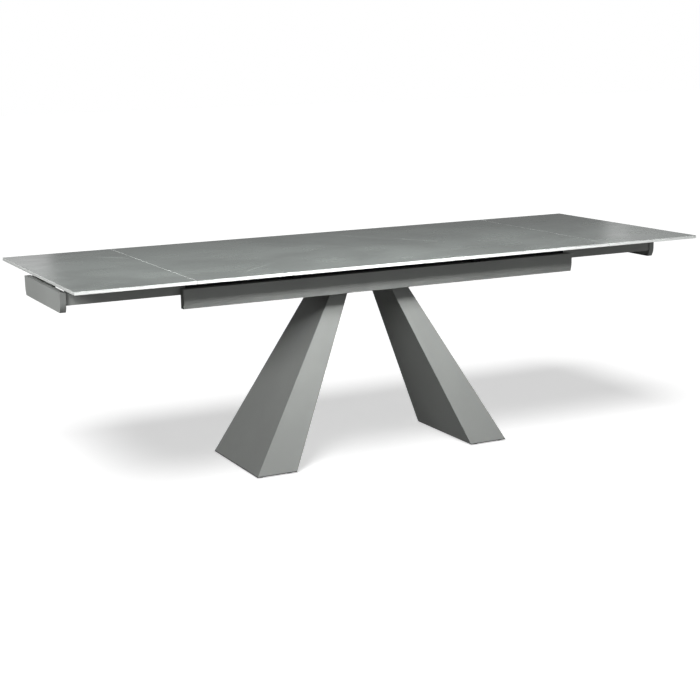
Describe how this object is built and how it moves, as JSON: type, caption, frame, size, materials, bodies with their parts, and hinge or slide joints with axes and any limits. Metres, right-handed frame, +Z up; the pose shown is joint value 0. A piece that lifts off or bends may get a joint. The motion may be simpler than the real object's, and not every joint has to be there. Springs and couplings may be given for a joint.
{
  "type": "extendable dining table",
  "caption": "Dining table with a grey ceramic-on-glass top, leaning sheet-steel legs, and a sliding carriage and leaf at each end.",
  "frame": {"origin": "on the floor, under the middle of the table", "axes": "+X along the length towards the right end, +Z up; the front is towards -Y"},
  "size_m": [2.4, 0.9, 0.76],
  "materials": {
    "leg_steel": "satin textured powder coat",
    "frame_steel": "satin powder coat",
    "inner_steel": "matte powder coat",
    "zinc": "zinc plated",
    "ceramic_top": "satin, cloudy stone look",
    "white_glass": "back-painted white glass edge",
    "nylon": "moulded",
    "rubber": "soft"
  },
  "bodies": {
    "chassis": {"left_leg": "leg_steel", "right_leg": "leg_steel", "left_base_plate": "inner_steel", "right_base_plate": "inner_steel", "left_head_plate": "inner_steel", "right_head_plate": "inner_steel", "front_beam": "inner_steel", "rear_beam": "inner_steel", "left_end_cross_bar": "inner_steel", "left_cross_bar": "inner_steel", "right_cross_bar": "inner_steel", "right_end_cross_bar": "inner_steel", "apron_brackets": "inner_steel", "front_guide_channel": "inner_steel", "rear_guide_channel": "inner_steel", "left_top_bearer": "inner_steel", "right_top_bearer": "inner_steel", "top_posts": "inner_steel", "floor_glides": "nylon", "guide_pads": "nylon", "leg_bolts": "zinc", "apron_bolts": "zinc", "extension_stops": "zinc", "post_bolts": "zinc", "bonding_discs": "zinc", "disc_screws": "zinc", "front_apron": "frame_steel", "rear_apron": "frame_steel", "apron_end_caps": "frame_steel", "closing_stops": "rubber", "main_glass": "white_glass", "main_ceramic": "ceramic_top"},
    "left_carriage": {"left_end_panel": "frame_steel", "left_front_rail": "frame_steel", "left_rear_rail": "frame_steel", "left_outer_bar": "inner_steel", "left_inner_bar": "inner_steel", "left_rail_sliders": "nylon", "left_panel_screws": "zinc"},
    "left_outer_lift": {"left_outer_lift": "inner_steel"},
    "left_inner_lift": {"left_inner_lift": "inner_steel"},
    "left_lift_link": {"left_lift_link": "inner_steel"},
    "left_leaf": {"left_leaf_glass": "white_glass", "left_leaf_ceramic": "ceramic_top", "left_leaf_bumpers": "rubber"},
    "right_carriage": {"right_end_panel": "frame_steel", "right_front_rail": "frame_steel", "right_rear_rail": "frame_steel", "right_outer_bar": "inner_steel", "right_inner_bar": "inner_steel", "right_rail_sliders": "nylon", "right_panel_screws": "zinc"},
    "right_outer_lift": {"right_outer_lift": "inner_steel"},
    "right_inner_lift": {"right_inner_lift": "inner_steel"},
    "right_lift_link": {"right_lift_link": "inner_steel"},
    "right_leaf": {"right_leaf_glass": "white_glass", "right_leaf_ceramic": "ceramic_top", "right_leaf_bumpers": "rubber"}
  },
  "joints": [
    {"name": "left_carriage_slide", "type": "slide", "parent": "chassis", "child": "left_carriage", "axis": [1, 0, 0], "range_m": [0, 0.4]},
    {"name": "left_leaf_lift_off", "type": "slide", "parent": "chassis", "child": "left_leaf", "axis": [0, 0, 1], "range_m": [0, 0.2]},
    {"name": "left_lift_fold", "type": "hinge", "parent": "left_carriage", "child": "left_outer_lift", "pos_m": [-1.142, 0, 0.7], "axis": [0, 1, 0], "range_deg": [0, 58]},
    {"name": "left_inner_lift_fold", "type": "hinge", "parent": "left_carriage", "child": "left_inner_lift", "pos_m": [-0.872, 0, 0.7], "axis": [0, 1, 0], "range_deg": [0, 58]},
    {"name": "left_link_pivot", "type": "hinge", "parent": "left_outer_lift", "child": "left_lift_link", "pos_m": [-1.142, 0.0055, 0.72], "axis": [0, 1, 0], "range_deg": [-58, 0]},
    {"name": "right_carriage_slide", "type": "slide", "parent": "chassis", "child": "right_carriage", "axis": [-1, 0, 0], "range_m": [0, 0.4]},
    {"name": "right_leaf_lift_off", "type": "slide", "parent": "chassis", "child": "right_leaf", "axis": [0, 0, 1], "range_m": [0, 0.2]},
    {"name": "right_lift_fold", "type": "hinge", "parent": "right_carriage", "child": "right_outer_lift", "pos_m": [1.142, 0, 0.7], "axis": [0, -1, 0], "range_deg": [0, 58]},
    {"name": "right_inner_lift_fold", "type": "hinge", "parent": "right_carriage", "child": "right_inner_lift", "pos_m": [0.872, 0, 0.7], "axis": [0, -1, 0], "range_deg": [0, 58]},
    {"name": "right_link_pivot", "type": "hinge", "parent": "right_outer_lift", "child": "right_lift_link", "pos_m": [1.142, 0.0055, 0.72], "axis": [0, -1, 0], "range_deg": [-58, 0]}
  ],
  "couplings": [
    {"joint": "left_inner_lift_fold", "follows": "left_lift_fold", "ratio": 1},
    {"joint": "left_link_pivot", "follows": "left_lift_fold", "ratio": -1},
    {"joint": "right_inner_lift_fold", "follows": "right_lift_fold", "ratio": 1},
    {"joint": "right_link_pivot", "follows": "right_lift_fold", "ratio": -1}
  ]
}
